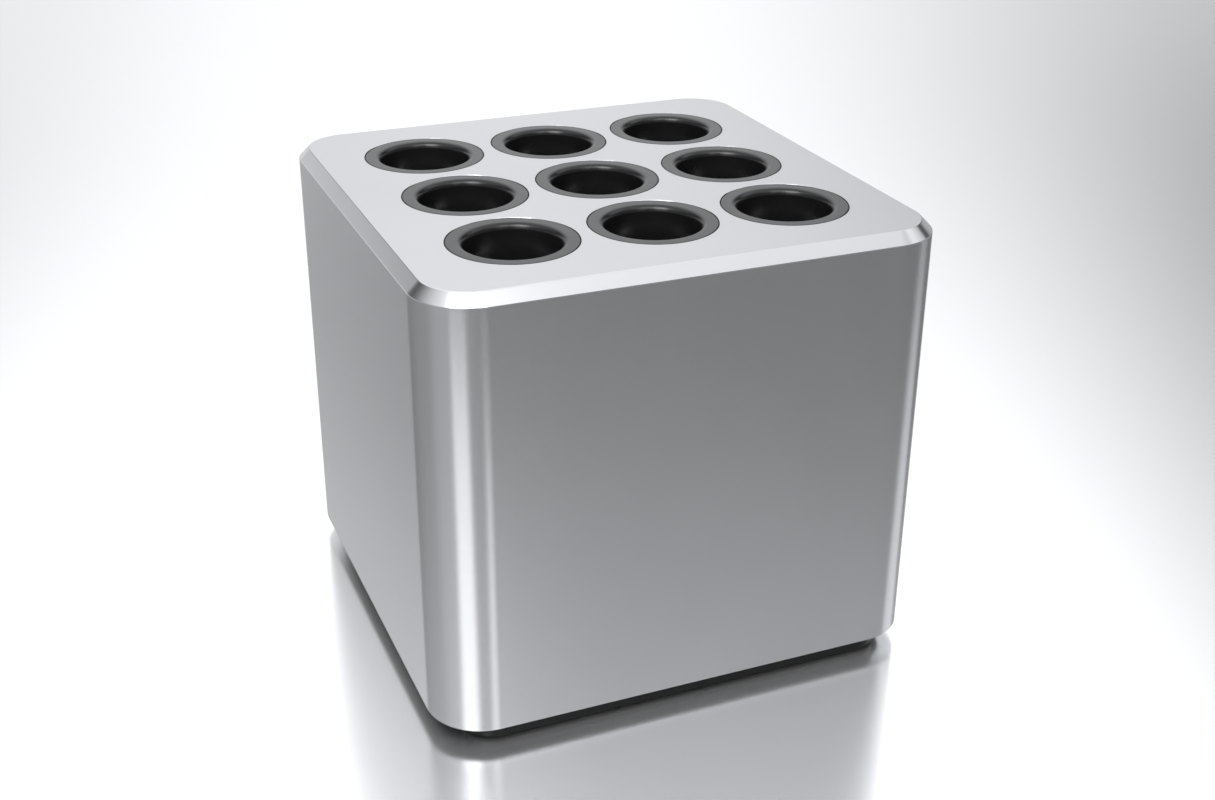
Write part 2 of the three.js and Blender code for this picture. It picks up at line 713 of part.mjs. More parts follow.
function controlBay() {
  const bay = group(
    node("rear_shroud", rearShroud(), BLACK_PLASTIC),
    node("rear_panel", rearPanel(), PANEL_BLACK),
    ...copies("panel_screw", panelScrew(), STEEL, [[-PANEL_SCREW_X, 0], [PANEL_SCREW_X, 0]]),
    node("dc_inlet", dcInlet(), BLACK_PLASTIC, [INLET.x, 0, 0]),
    node("inlet_nut", inletNut(), STEEL, [INLET.x, 0, 0]),
    switchAssembly(),
    node("potentiometer_body", potentiometerBody(), CIRCUIT, [KNOB.x, 0, 0]),
    temperatureDial(),
    node("power_lens", lens(), GREEN_LENS, [LENS.x, LENS.y, 0]),
    node("heat_lens", lens(), AMBER_LENS, [LENS.x, -LENS.y, 0]),
  );
  bay.position.set(0, WIDTH / 2, BAY.centre);
  bay.rotation.set(-Math.PI / 2, 0, Math.PI);
  return bay;
}

const heater = group(outerShell(), heatedCore(), base(), electronics(), controlBay());
heater.name = "dry_block_heater";

export default heater;
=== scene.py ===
import math

import bmesh
import bpy
from mathutils import Matrix, Vector

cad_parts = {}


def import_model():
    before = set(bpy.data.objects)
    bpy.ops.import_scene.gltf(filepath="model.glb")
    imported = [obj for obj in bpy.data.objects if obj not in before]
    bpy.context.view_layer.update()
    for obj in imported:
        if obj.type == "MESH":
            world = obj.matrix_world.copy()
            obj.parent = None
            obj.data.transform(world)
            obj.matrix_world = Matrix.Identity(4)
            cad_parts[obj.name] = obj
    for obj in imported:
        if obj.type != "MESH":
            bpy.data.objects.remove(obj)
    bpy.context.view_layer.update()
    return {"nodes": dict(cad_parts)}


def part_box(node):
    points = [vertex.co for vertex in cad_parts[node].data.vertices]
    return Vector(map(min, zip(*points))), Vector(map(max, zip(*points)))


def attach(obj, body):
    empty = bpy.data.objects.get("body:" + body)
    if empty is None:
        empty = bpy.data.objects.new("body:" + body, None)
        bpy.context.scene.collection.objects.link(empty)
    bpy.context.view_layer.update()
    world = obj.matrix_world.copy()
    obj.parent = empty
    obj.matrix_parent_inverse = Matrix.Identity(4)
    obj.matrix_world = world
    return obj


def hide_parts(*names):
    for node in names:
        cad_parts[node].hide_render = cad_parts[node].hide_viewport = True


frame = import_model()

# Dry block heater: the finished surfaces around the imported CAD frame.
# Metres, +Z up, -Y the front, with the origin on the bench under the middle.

# Places and sizes that the frame gives


def middle(node):
    low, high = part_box(node)
    return (low + high) / 2


def half_width(node):
    low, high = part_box(node)
    return (high.x - low.x) / 2


HOUSING_LOW, HOUSING_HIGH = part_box("housing")
WIDTH = HOUSING_HIGH.x - HOUSING_LOW.x
TOP = HOUSING_HIGH.z
BOTTOM = HOUSING_LOW.z
REAR = HOUSING_HIGH.y
BLOCK_LOW, BLOCK_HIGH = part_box("heater_block")
COLLAR_R = half_width("well_collar_1")
COLLAR_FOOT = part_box("well_collar_1")[0].z
COLLARS = ["well_collar_%d" % number for number in range(1, 10)]
WELLS = [middle(node).to_2d() for node in COLLARS]
BAY_HEIGHT = middle("rear_shroud").z

# Edges, from softest to crispest, how far a cutter goes past what it cuts, and two overlaps that
# keep faces from lying in one plane

EDGE_R = 0.0003
SOFT_EDGE = 0.0002
CRISP_EDGE = 0.0001
THROUGH = 0.001
SKIN = 0.00005
SINK = 0.00001

# Housing, collars and block

CORNER_R = 0.011
DECK_CHAMFER = 0.0021
WALL = 0.003
DECK = 0.005
SEAT_GAP = 0.00012
FLANGE = 0.0011
COLLAR_NECK_R = 0.0105
COLLAR_TAPER = 0.001
COLLAR_TAPER_WIDTH = 0.0004
BORE_R = 0.0088
LIP_R = 0.0013
WELL_R = 0.0087
WELL_TIP = 0.0345
WELL_TIP_HEIGHT = 0.0052
WELL_CHAMFER = 0.0007
BLOCK_R = 0.004
BLOCK_CHAMFER = 0.0008

# Base

PLINTH = 0.088
PLINTH_DEPTH = 0.096
PLINTH_R = 0.006
PLINTH_LOW = 0.0004
PLINTH_TOP = 0.0032
NECK = PLINTH - 0.0004
NECK_R = 0.005
NECK_ROOT = 0.002
NECK_TOP = 0.0038
TONGUE = 0.0934
TONGUE_TOP = 0.0063
POCKET = 0.066
POCKET_R = 0.0025
VENT_LENGTH = 0.026
VENT_WIDTH = 0.0024
VENT_PITCH = 0.006
VENT_FLARE = 0.0004
PEG_INSET = 0.003
PEG_R = 0.0025
PEG_PIN_R = 0.0011
PEG_PIN_TIP_R = 0.0008
PEG_PIN_RISE = 0.0026
FOOT_R = 0.006
FOOT_GAP = 0.0003
FOOT_SEAT = 0.0022
FOOT_HOLLOW_R = 0.0032
FOOT_HOLLOW = 0.0003
SCREW_HEAD_R = 0.0028
SCREW_HEAD = 0.0015
SCREW_SHANK_R = 0.0014
SCREW_TIP = 0.0004
SCREW_HOLE_R = 0.00175
SOCKET = 0.002
SOCKET_DEPTH = 0.0012

# Control bay, in its own frame: x to the right of someone facing the rear, y up, z outwards

BAY = Matrix(((-1, 0, 0, 0), (0, 0, 1, REAR), (0, 1, 0, BAY_HEIGHT), (0, 0, 0, 1)))
BAY_WIDTH = 0.066
BAY_DEPTH = 0.019
BAY_R = 0.0025
SHROUD_WIDTH = 0.0654
SHROUD_HEIGHT = 0.0184
SHROUD_WALL = 0.0015
SHROUD_BACK = -0.010
SHROUD_FRONT = -0.0001
SHROUD_RIM = 0.0014
SHROUD_FLANGE = (-0.0058, -0.0033)
SHROUD_FLANGE_WIDTH = BAY_WIDTH + 0.0044
SHROUD_FLANGE_HEIGHT = BAY_DEPTH + 0.0022
SHROUD_WINDOW = (0.054, 0.012)
SHROUD_WINDOW_R = 0.001
BAY_GAP = 0.0003
PANEL_FACE = -0.0052
PANEL_BACK = -0.0067
PANEL_WIDTH = 0.0618
PANEL_HEIGHT = 0.0148
PANEL_R = 0.0012
SEAT = PANEL_FACE + 0.0003
PANEL_SCREW_X = 0.0288
PANEL_SCREW_HOLE_R = 0.00125
PANEL_SCREW_HEAD_R = 0.0019
PANEL_SCREW_HEAD = 0.0012
PANEL_SCREW_SHANK_R = 0.0009
PANEL_SCREW_SHANK = 0.0044
PANEL_SOCKET = 0.0013
PANEL_SOCKET_DEPTH = 0.0007
SWITCH_HOLE = (0.013, 0.010)
SWITCH_HOLE_R = 0.0006
INLET_HOLE_R = 0.00435
SHAFT_HOLE_R = 0.00335
LENS_HOLE_R = 0.0016
LENS_R = 0.0015
LENS_RISE = 0.0012
LENS_FLANGE_R = 0.0021
LENS_FLANGE = 0.001
LENS_LENGTH = 0.004
INLET_R = 0.004
INLET_FLANGE_R = 0.0055
INLET_BORE_R = 0.0029
INLET_BACK = -0.020
INLET_BOTTOM = -0.014
INLET_FRONT = SEAT + 0.0018
INLET_MOUTH = 0.0004
INLET_PIN_R = 0.001
INLET_PIN_TIP = 0.0005
BEZEL = (0.015, 0.011)
BEZEL_R = 0.0012
BEZEL_RIM = 0.0006
BEZEL_FRONT = SEAT + 0.0014
SWITCH_BOX = (0.0124, 0.0094)
SWITCH_BACK = -0.017
SWITCH_BOTTOM = -0.012
INLET_X = -middle("dc_inlet").x
SWITCH_X = -middle("switch_body").x
KNOB_X = -middle("temperature_knob").x
LENS_X = -middle("power_lens").x
LENS_Y = middle("power_lens").z - BAY_HEIGHT
PIVOT = -0.006
ROCKER_TILT = math.radians(11)
ROCKER_HALF = 0.0048
ROCKER_WIDTH = 0.0068
ROCKER_FACE = 0.0029
ROCKER_HOLLOW = 0.0003
ROCKER_SIDE = -0.001
ROCKER_KEEL = -0.0036
ROCKER_EDGE = 0.00035
MARK = 0.0024
MARK_LINE = 0.0004
MARK_PROUD = 0.00004
KNOB_R = 0.0055
KNOB_FRONT = -0.0002
KNOB_SKIRT = PANEL_FACE + 0.0005
KNOB_BUSH_R = 0.0036
KNOB_BORE_R = 0.00195
KNOB_REST = math.radians(135)
KNOB_SWEEP = math.radians(270)
FLUTES = 12
FLUTE_DEPTH = 0.00045
FLUTE_FADE = 0.0012
POINTER = 0.0034
POINTER_WIDTH = 0.00064
POINTER_GAP = 0.0001
TICKS = 9
TICK_WIDTH = 0.00022
TICK_THICK = 0.00003

# Studio. The surroundings' bright patches are (towards, full within, gone beyond, strength), and
# the lights (name, azimuth, elevation, distance, size, radiance), with angles in degrees. The
# second patch is a band round the horizon: full beyond 80 degrees from straight up, gone within 73.

FLOOR_R = 8.0
SKY_COLOUR = (0.97, 0.98, 1.0, 1)
AMBIENT = 0.01
GLOWS = [
    ((0.03, -0.03, 1.0), 25, 68.5, 1.33),
    ((0.0, 0.0, 1.0), 80, 73, 0.64),
    ((0.25, 0.77, 0.59), 10, 34, 1.32),
    ((0.31, -0.39, 0.87), 6, 24, 0.2),
    ((0.81, 0.0, 0.59), 13, 17, 0.9),
    ((-0.98, 0.1, 0.05), 30, 70, 0.24),
    ((-0.3, 0.95, 0.04), 8, 24, 0.44),
    ((-0.85, -0.23, 0.47), 8, 24, 0.16),
    ((-0.27, -0.82, 0.50), 5, 20, 0.14),
]
PANELS = [
    ("front_left", -41, 29.5, 0.9, (0.40, 0.42), 1.6),
    ("front", 4, 32, 0.9, (0.15, 0.38), 1.3),
    ("high_left", -45, 58, 0.9, (0.36, 0.42), 8.5),
    ("high_front", 6, 58, 0.9, (0.22, 0.36), 3.3),
]

# Camera: angles in radians, the lens and the sensor in millimetres

CAMERA_TURN = math.radians(-22.62)
CAMERA_RISE = math.radians(25.68)
CAMERA_ROLL = math.radians(0.4)
CAMERA_DISTANCE = 0.35396
CAMERA_AIM = Vector((0.00794, 0.01295, 0.03472))
CAMERA_LENS = 47.9
SENSOR_WIDTH = 36

# Sides of round shapes, the angle from which an edge is sharp, and a length taken as nothing

ROUND = 96
FINE = 64
SMALL = 32
CORNER_STEPS = 16
SHARP = math.radians(32)
TINY = 1e-7

# The nodes that come in sets

FOOT_NODES = ["foot_%d" % number for number in range(1, 5)]
BASE_SCREW_NODES = ["base_screw_%d" % number for number in range(1, 5)]
PANEL_SCREW_NODES = ["panel_screw_1", "panel_screw_2"]

scene = bpy.context.scene


# Shapes


def rounded(points, radii, steps=5):
    """The points of a line whose inner corners are arcs; a radius of 0 leaves one sharp."""
    points = [Vector(p) for p in points]
    made = [points[0]]
    for before, corner, after, radius in zip(points, points[1:], points[2:], radii):
        if not radius:
            made.append(corner)
            continue
        back, on = (before - corner).normalized(), (after - corner).normalized()
        half = back.angle(on) / 2
        centre = corner + (back + on).normalized() * radius / math.sin(half)
        reach = radius / math.tan(half)
        start, end = corner + back * reach - centre, corner + on * reach - centre
        for i in range(steps + 1):
            made.append(centre + start.slerp(end, i / steps).normalized() * radius)
    return made + [points[-1]]


def rectangle(width, height, radius, steps=CORNER_STEPS):
    """The outline of a rounded rectangle, counter-clockwise."""
    x, y = width / 2 - radius, height / 2 - radius
    outline = []
    for turn, (i, j) in enumerate([(1, -1), (1, 1), (-1, 1), (-1, -1)]):
        for step in range(steps + 1):
            angle = (turn - 1 + step / steps) * math.pi / 2
            outline.append((i * x + radius * math.cos(angle), j * y + radius * math.sin(angle)))
    return outline


def polygon(radius, sides):
    angles = [2 * math.pi * i / sides for i in range(sides)]
    return [(radius * math.cos(a), radius * math.sin(a)) for a in angles]


def stacked(levels):
    """A closed solid from (outline, height) levels with the same number of points."""
    bm = bmesh.new()
    loops = [[bm.verts.new((x, y, z)) for x, y in outline] for outline, z in levels]
    for low, high in zip(loops, loops[1:]):
        for i in range(len(low)):
            j = (i + 1) % len(low)
            bm.faces.new((low[i], low[j], high[j], high[i]))
    bm.faces.new(list(reversed(loops[0])))
    bm.faces.new(loops[-1])
    bmesh.ops.recalc_face_normals(bm, faces=bm.faces)
    return bm


def moulded(width, height, radius, profile, steps=CORNER_STEPS):
    """A rounded rectangular block whose sides follow a profile of (inset, height) points."""
    return stacked([
        (rectangle(width - 2 * inset, height - 2 * inset, max(radius - inset, SKIN), steps), z)
        for inset, z in profile
    ])


def turned(profile, sides=FINE, at=(0, 0)):
    """A solid turned about an upright line from (radius, height) points.

    It closes on the line, or on itself.
    """
    bm = bmesh.new()
    rings = []
    for r, z in profile:
        if r < TINY:
            rings.append([bm.verts.new((at[0], at[1], z))])
        else:
            ring = [(at[0] + x, at[1] + y, z) for x, y in polygon(r, sides)]
            rings.append([bm.verts.new(point) for point in ring])
    pairs = list(zip(rings, rings[1:]))
    if len(rings[0]) > 1:
        pairs.append((rings[-1], rings[0]))
    for low, high in pairs:
        for i in range(sides):
            j = (i + 1) % sides
            if len(low) == 1:
                bm.faces.new((low[0], high[j], high[i]))
            elif len(high) == 1:
                bm.faces.new((low[i], low[j], high[0]))
            else:
                bm.faces.new((low[i], low[j], high[j], high[i]))
    bmesh.ops.recalc_face_normals(bm, faces=bm.faces)
    return bm


def rod(radius, low, high, sides=FINE, at=(0, 0)):
    return turned([(0, low), (radius, low), (radius, high), (0, high)], sides, at)


def moved(bm, *matrices):
    for matrix in matrices:
        bm.transform(matrix)
    return bm


def shifted(bm, x, y):
    return moved(bm, Matrix.Translation((x, y, 0)))


def to_object(name, bm):
    mesh = bpy.data.meshes.new(name)
    bm.to_mesh(mesh)
    bm.free()
    made = bpy.data.objects.new(name, mesh)
    scene.collection.objects.link(made)
    return made


def combined(first, tools, operation):
    """The boolean of a solid and several others that stand clear of each other."""
    gathered = bmesh.new()
    for tool in tools:
        mesh = bpy.data.meshes.new("tool")
        tool.to_mesh(mesh)
        tool.free()
        gathered.from_mesh(mesh)
        bpy.data.meshes.remove(mesh)
    body, others = to_object("body", first), to_object("others", gathered)
    modifier = body.modifiers.new("boolean", "BOOLEAN")
    modifier.operation = operation
    modifier.solver = "EXACT"
    modifier.use_self = False
    modifier.object = others
    graph = bpy.context.evaluated_depsgraph_get()
    result = bmesh.new()
    result.from_mesh(body.evaluated_get(graph).to_mesh())
    for used in (body, others):
        mesh = used.data
        bpy.data.objects.remove(used)
        bpy.data.meshes.remove(mesh)
    bmesh.ops.remove_doubles(result, verts=result.verts, dist=TINY)
    bmesh.ops.dissolve_degenerate(result, edges=result.edges, dist=TINY)
    return result


def cut(first, *tools):
    return combined(first, tools, "DIFFERENCE")


def joined(first, *others):
    return combined(first, others, "UNION")


def piece(name, bm, material, slot, body, *nodes):
    """A visible piece that rides on a CAD body and stands for some of its nodes."""
    made = to_object(name, bm)
    made.data.materials.append(material)
    made.data.shade_smooth()
    made.data.set_sharp_from_angle(angle=SHARP)
    normals = made.modifiers.new("normals", "WEIGHTED_NORMAL")
    normals.keep_sharp = True
    normals.weight = 100
    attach(made, body)
    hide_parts(*nodes)


# Materials. Noise mostly lies between the two values below.

NOISE_LOW = 0.3
NOISE_HIGH = 0.7


def surface(name, colour, metallic, roughness, **sockets):
    """A material with its own node tree: (nodes, links, shader, coordinates) come back with it."""
    made = bpy.data.materials.new(name)
    made.use_nodes = True
    nodes, links = made.node_tree.nodes, made.node_tree.links
    shader = nodes["Principled BSDF"]
    shader.inputs["Base Color"].default_value = (*colour, 1)
    shader.inputs["Metallic"].default_value = metallic
    shader.inputs["Roughness"].default_value = roughness
    for socket, value in sockets.items():
        shader.inputs[socket.replace("_", " ")].default_value = value
    made.diffuse_color = (*colour, 1)
    place = nodes.new("ShaderNodeTexCoord").outputs["Object"]
    return made, nodes, links, shader, place


def noise(nodes, links, place, size, detail=2.0, stretch=(1, 1, 1)):
    """Noise with features of about a size in metres; a stretch below 1 draws them out."""
    mapping = nodes.new("ShaderNodeMapping")
    mapping.inputs["Scale"].default_value = [part / size for part in stretch]
    links.new(place, mapping.inputs["Vector"])
    texture = nodes.new("ShaderNodeTexNoise")
    texture.inputs["Scale"].default_value = 1.0
    texture.inputs["Detail"].default_value = detail
    links.new(mapping.outputs["Vector"], texture.inputs["Vector"])
    return texture.outputs["Fac"]


def spread(nodes, links, value, low, high):
    """Most of what noise gives, carried to low and high."""
    ranged = nodes.new("ShaderNodeMapRange")
    ranged.inputs["From Min"].default_value = NOISE_LOW
    ranged.inputs["From Max"].default_value = NOISE_HIGH
    ranged.inputs["To Min"].default_value = low
    ranged.inputs["To Max"].default_value = high
    links.new(value, ranged.inputs["Value"])
    return ranged.outputs["Result"]


def tinted(nodes, links, value, dark, light):
    ramp = nodes.new("ShaderNodeValToRGB")
    first, last = ramp.color_ramp.elements
    first.position, first.color = NOISE_LOW, (*dark, 1)
    last.position, last.color = NOISE_HIGH, (*light, 1)
    links.new(value, ramp.inputs["Fac"])
    return ramp.outputs["Color"]


def bumped(nodes, links, shader, height, depth):
    bump = nodes.new("ShaderNodeBump")
    bump.inputs["Distance"].default_value = depth
    links.new(height, bump.inputs["Height"])
    links.new(bump.outputs["Normal"], shader.inputs["Normal"])


def shade(colour, factor):
    return tuple(min(1.0, part * factor) for part in colour)


def grained(
    name, colour, roughness, grain, depth, metallic=0.0, mottle=0.12, stretch=(1, 1, 1), **sockets
):
    """A finish with a fine grain, broad patches of tone and uneven gloss."""
    made, nodes, links, shader, place = surface(name, colour, metallic, roughness, **sockets)
    patches = noise(nodes, links, place, 0.009, 4.0)
    colours = tinted(nodes, links, patches, shade(colour, 1 - mottle), shade(colour, 1 + mottle))
    links.new(colours, shader.inputs["Base Color"])
    gloss = noise(nodes, links, place, 0.004, 3.0, stretch)
    ranged = spread(nodes, links, gloss, roughness * 0.9, roughness * 1.1)
    links.new(ranged, shader.inputs["Roughness"])
    bumped(nodes, links, shader, noise(nodes, links, place, grain, 2.0, stretch), depth)
    return made


def anodised():
    """Clear anodised aluminium: an even satin, with a very fine grain and faint patches."""
    colour = (0.53, 0.535, 0.545)
    made, nodes, links, shader, place = surface("anodised_aluminium", colour, 1.0, 0.2)
    cloud = noise(nodes, links, place, 0.03, 3.0)
    colours = tinted(nodes, links, cloud, shade(colour, 0.985), shade(colour, 1.015))
    links.new(colours, shader.inputs["Base Color"])
    smudges = noise(nodes, links, place, 0.012, 5.0, (1, 1, 0.6))
    links.new(spread(nodes, links, smudges, 0.195, 0.205), shader.inputs["Roughness"])
    bumped(nodes, links, shader, noise(nodes, links, place, 0.0004), 0.0000004)
    return made


def lens_plastic(name, colour):
    made, nodes, links, shader, place = surface(
        name, colour, 0.0, 0.12, Transmission_Weight=0.35, Coat_Weight=0.4, Coat_Roughness=0.04
    )
    depth = noise(nodes, links, place, 0.0012, 2.0)
    colours = tinted(nodes, links, depth, shade(colour, 0.8), shade(colour, 1.1))
    links.new(colours, shader.inputs["Base Color"])
    links.new(spread(nodes, links, depth, 0.1, 0.16), shader.inputs["Roughness"])
    return made


ANODISED = anodised()
COLLAR_PLASTIC = grained(
    "collar_plastic", (0.009, 0.009, 0.0095), 0.25, grain=0.00025, depth=0.000002, IOR=1.42
)
BLACK_PLASTIC = grained(
    "black_plastic", (0.008, 0.008, 0.0085), 0.4, grain=0.0003, depth=0.000012
)
# The base's black plastic, made darker than the other black plastic as painted shade: it stands in
# for the shadow in the gap under the housing's edge.
BASE_PLASTIC_AND_PAINTED_SHADE = grained(
    "base_plastic_and_painted_shade", (0.004, 0.004, 0.0045), 0.3, grain=0.0003, depth=0.000003, IOR=1.3
)
MACHINED = grained(
    "machined_block", (0.62, 0.62, 0.63), 0.34, grain=0.0002, depth=0.000003,
    metallic=1.0, mottle=0.04, stretch=(1, 1, 6),
)
PANEL_BLACK = grained(
    "black_anodised", (0.035, 0.036, 0.04), 0.4, grain=0.0001, depth=0.000003,
    metallic=0.7, mottle=0.08, stretch=(0.05, 1, 1),
)
RUBBER = grained("foot_rubber", (0.015, 0.015, 0.015), 0.85, grain=0.0004, depth=0.00002)
STEEL = grained(
    "stainless_steel", (0.55, 0.55, 0.56), 0.28, grain=0.00015, depth=0.000002,
    metallic=1.0, mottle=0.05,
)
PLATED = grained(
    "zinc_sheet", (0.58, 0.58, 0.57), 0.4, grain=0.0006, depth=0.000004, metallic=1.0
)
BRASS = grained(
    "turned_brass", (0.60, 0.48, 0.22), 0.3, grain=0.00015, depth=0.000002,
    metallic=1.0, mottle=0.06,
)
FIBRE = grained(
    "mineral_fibre", (0.72, 0.69, 0.61), 0.95, grain=0.0005, depth=0.0002,
    mottle=0.1, stretch=(0.3, 0.3, 2),
)
SILICONE = grained("heater_silicone", (0.55, 0.16, 0.07), 0.6, grain=0.0008, depth=0.00003)
CERAMIC = grained(
    "spacer_ceramic", (0.80, 0.78, 0.73), 0.55, grain=0.0003, depth=0.00001, mottle=0.04
)
CIRCUIT = grained(
    "circuit_board", (0.03, 0.16, 0.09), 0.4, grain=0.0007, depth=0.00002, mottle=0.25
)
WIRE = grained("silicone_wire", (0.35, 0.03, 0.03), 0.5, grain=0.0005, depth=0.00001)
WHITE_INK = grained(
    "white_ink", (0.78, 0.78, 0.76), 0.45, grain=0.0002, depth=0.000003, mottle=0.04
)
GREEN_LENS = lens_plastic("green_lens", (0.08, 0.50, 0.14))
AMBER_LENS = lens_plastic("amber_lens", (0.85, 0.30, 0.04))


# Housing, collars and heated block


def housing():
    """A square tube with its deck, open below, and the openings for the collars and the bay."""
    sides = rounded(
        [
            (EDGE_R, BOTTOM),
            (0, BOTTOM + EDGE_R),
            (0, TOP - DECK_CHAMFER),
            (DECK_CHAMFER, TOP),
            (DECK_CHAMFER + 0.003, TOP),
        ],
        [0, EDGE_R, EDGE_R],
    )
    body = moulded(WIDTH, WIDTH, CORNER_R, sides)
    inner = WIDTH - 2 * WALL
    hollow = moulded(inner, inner, CORNER_R - WALL, [(0, 0), (0, TOP - DECK)])
    mouth = rounded(
        [(0, -2 * WALL), (0, -EDGE_R), (-EDGE_R, 0), (-EDGE_R - WALL, WALL)], [0, 0], 1
    )
    opening = moved(moulded(BAY_WIDTH, BAY_DEPTH, BAY_R, mouth), BAY)
    seat = COLLAR_R + SEAT_GAP
    holes = [
        turned(
            [
                (0, TOP - 2 * DECK),
                (COLLAR_NECK_R + SEAT_GAP, TOP - 2 * DECK),
                (COLLAR_NECK_R + SEAT_GAP, TOP - FLANGE - SEAT_GAP),
                (seat, TOP - FLANGE - SEAT_GAP),
                (seat, TOP - SKIN),
                (seat + 2 * SKIN, TOP + SKIN),
                (0, TOP + SKIN),
            ],
            ROUND,
            at,
        )
        for at in WELLS
    ]
    shell = cut(cut(body, hollow), opening, *holes)
    piece("housing_shell", shell, ANODISED, "housing", "heater", "housing")


def well_collar(number, node, at):
    """A flanged bush that sits flush in the deck, with a rounded lip round its bore."""
    foot, under = COLLAR_FOOT, TOP - FLANGE
    profile = rounded(
        [
            (BORE_R, foot + COLLAR_TAPER),
            (BORE_R + COLLAR_TAPER_WIDTH, foot),
            (COLLAR_NECK_R, foot),
            (COLLAR_NECK_R, under),
            (COLLAR_R, under),
            (COLLAR_R, TOP),
            (BORE_R, TOP),
            (BORE_R, foot + COLLAR_TAPER),
        ],
        [0, SOFT_EDGE, SOFT_EDGE, CRISP_EDGE, SOFT_EDGE, LIP_R],
        10,
    )
    collar = turned(profile[:-1], ROUND, at)
    piece("collar_%d" % number, collar, COLLAR_PLASTIC, "collar", "heater", node)


def heater_block():
    """The machined block, with its wells drilled from above."""
    profile = [
        (BLOCK_CHAMFER, BLOCK_LOW.z),
        (0, BLOCK_LOW.z + BLOCK_CHAMFER),
        (0, BLOCK_HIGH.z - BLOCK_CHAMFER),
        (BLOCK_CHAMFER, BLOCK_HIGH.z),
    ]
    side = BLOCK_HIGH.x - BLOCK_LOW.x
    wells = [
        turned(
            [
                (0, WELL_TIP),
                (WELL_R, WELL_TIP + WELL_TIP_HEIGHT),
                (WELL_R, BLOCK_HIGH.z - 0.0005),
                (WELL_R + WELL_CHAMFER, BLOCK_HIGH.z + 0.0002),
                (0, BLOCK_HIGH.z + 0.0002),
            ],
            FINE,
            at,
        )
        for at in WELLS
    ]
    block = cut(moulded(side, side, BLOCK_R, profile), *wells)
    piece("heated_block", block, MACHINED, "block", "heater", "heater_block")


# Base


def vent(y):
    """A slot through the base, with a flared mouth underneath."""
    levels = [(VENT_FLARE, PLINTH_LOW - 0.0001), (0, PLINTH_LOW + 0.0003), (0, NECK_TOP + 0.0001)]
    loops = []
    for flare, z in levels:
        width = VENT_WIDTH + 2 * flare
        outline = rectangle(VENT_LENGTH + 2 * flare, width, width / 2 - SINK, 8)
        loops.append((outline, z))
    return shifted(stacked(loops), 0, y)


def base_pegs():
    """The stepped pegs that carry the controller board."""
    low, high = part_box("controller_board")
    root, shoulder, tip = NECK_TOP - 0.0005, low.z - 0.0003, low.z + PEG_PIN_RISE
    profile = [
        (0, root),
        (PEG_R, root),
        (PEG_R, shoulder),
        (PEG_PIN_R, shoulder),
        (PEG_PIN_R, tip - SOFT_EDGE),
        (PEG_PIN_TIP_R, tip),
        (0, tip),
    ]
    return [
        turned(profile, SMALL, (x, y))
        for x in (low.x + PEG_INSET, high.x - PEG_INSET)
        for y in (low.y + PEG_INSET, high.y - PEG_INSET)
    ]


def base_plate():
    """The black base: a plinth, a neck, a tongue inside the housing, and its openings."""
    sides = rounded(
        [(0.002, PLINTH_LOW), (0, PLINTH_LOW), (0, PLINTH_TOP), (0.001, PLINTH_TOP)],
        [0.0004, SOFT_EDGE],
    )
    plinth = moulded(PLINTH, PLINTH_DEPTH, PLINTH_R, sides)
    neck = moulded(NECK, NECK, NECK_R, [(0, NECK_ROOT), (0, NECK_TOP + THROUGH)])
    rise = [(EDGE_R, NECK_TOP), (0, NECK_TOP + EDGE_R), (0, TONGUE_TOP)]
    tongue = moulded(TONGUE, TONGUE, CORNER_R - WALL, rise)
    pocket = moulded(POCKET, POCKET, POCKET_R, [(0, NECK_TOP), (0, TONGUE_TOP + THROUGH)])
    vents = [vent(row * VENT_PITCH) for row in range(-2, 3)]
    foot_r = FOOT_R + FOOT_GAP
    feet = [rod(foot_r, 0, FOOT_SEAT, FINE, middle(node).to_2d()) for node in FOOT_NODES]
    mouth = SCREW_HEAD_R + 0.0003
    sinks = [
        turned(
            [
                (0, PLINTH_LOW - 0.0002),
                (mouth, PLINTH_LOW - 0.0002),
                (mouth, PLINTH_LOW + 0.0001),
                (SCREW_HOLE_R, PLINTH_LOW + 0.0001 + SCREW_HEAD),
                (SCREW_HOLE_R, TONGUE_TOP + THROUGH),
                (0, TONGUE_TOP + THROUGH),
            ],
            SMALL,
            middle(node).to_2d(),
        )
        for node in BASE_SCREW_NODES
    ]
    body = cut(joined(joined(plinth, neck), tongue), pocket, *vents, *feet, *sinks)
    whole = joined(body, *base_pegs())
    # The base wears the darkened black plastic, painted shade for the gap under the housing.
    piece("base_moulding", whole, BASE_PLASTIC_AND_PAINTED_SHADE, "black_plastic", "heater", "base_plate")


def foot(number, node):
    """A rubber disc with a shallow hollow under its middle."""
    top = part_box(node)[1].z
    profile = rounded(
        [
            (0, FOOT_HOLLOW),
            (FOOT_HOLLOW_R, FOOT_HOLLOW),
            (FOOT_HOLLOW_R + 0.0004, 0),
            (FOOT_R, 0),
            (FOOT_R, top),
            (0, top),
        ],
        [CRISP_EDGE, CRISP_EDGE, 0.0005, SOFT_EDGE],
    )
    made = turned(profile, FINE, middle(node).to_2d())
    piece("rubber_foot_%d" % number, made, RUBBER, "foot", "heater", node)


def hexagon(across, low, high):
    """A hexagonal bar, measured across its flats."""
    outline = polygon(across / math.sqrt(3), 6)
    return stacked([(outline, low), (outline, high)])


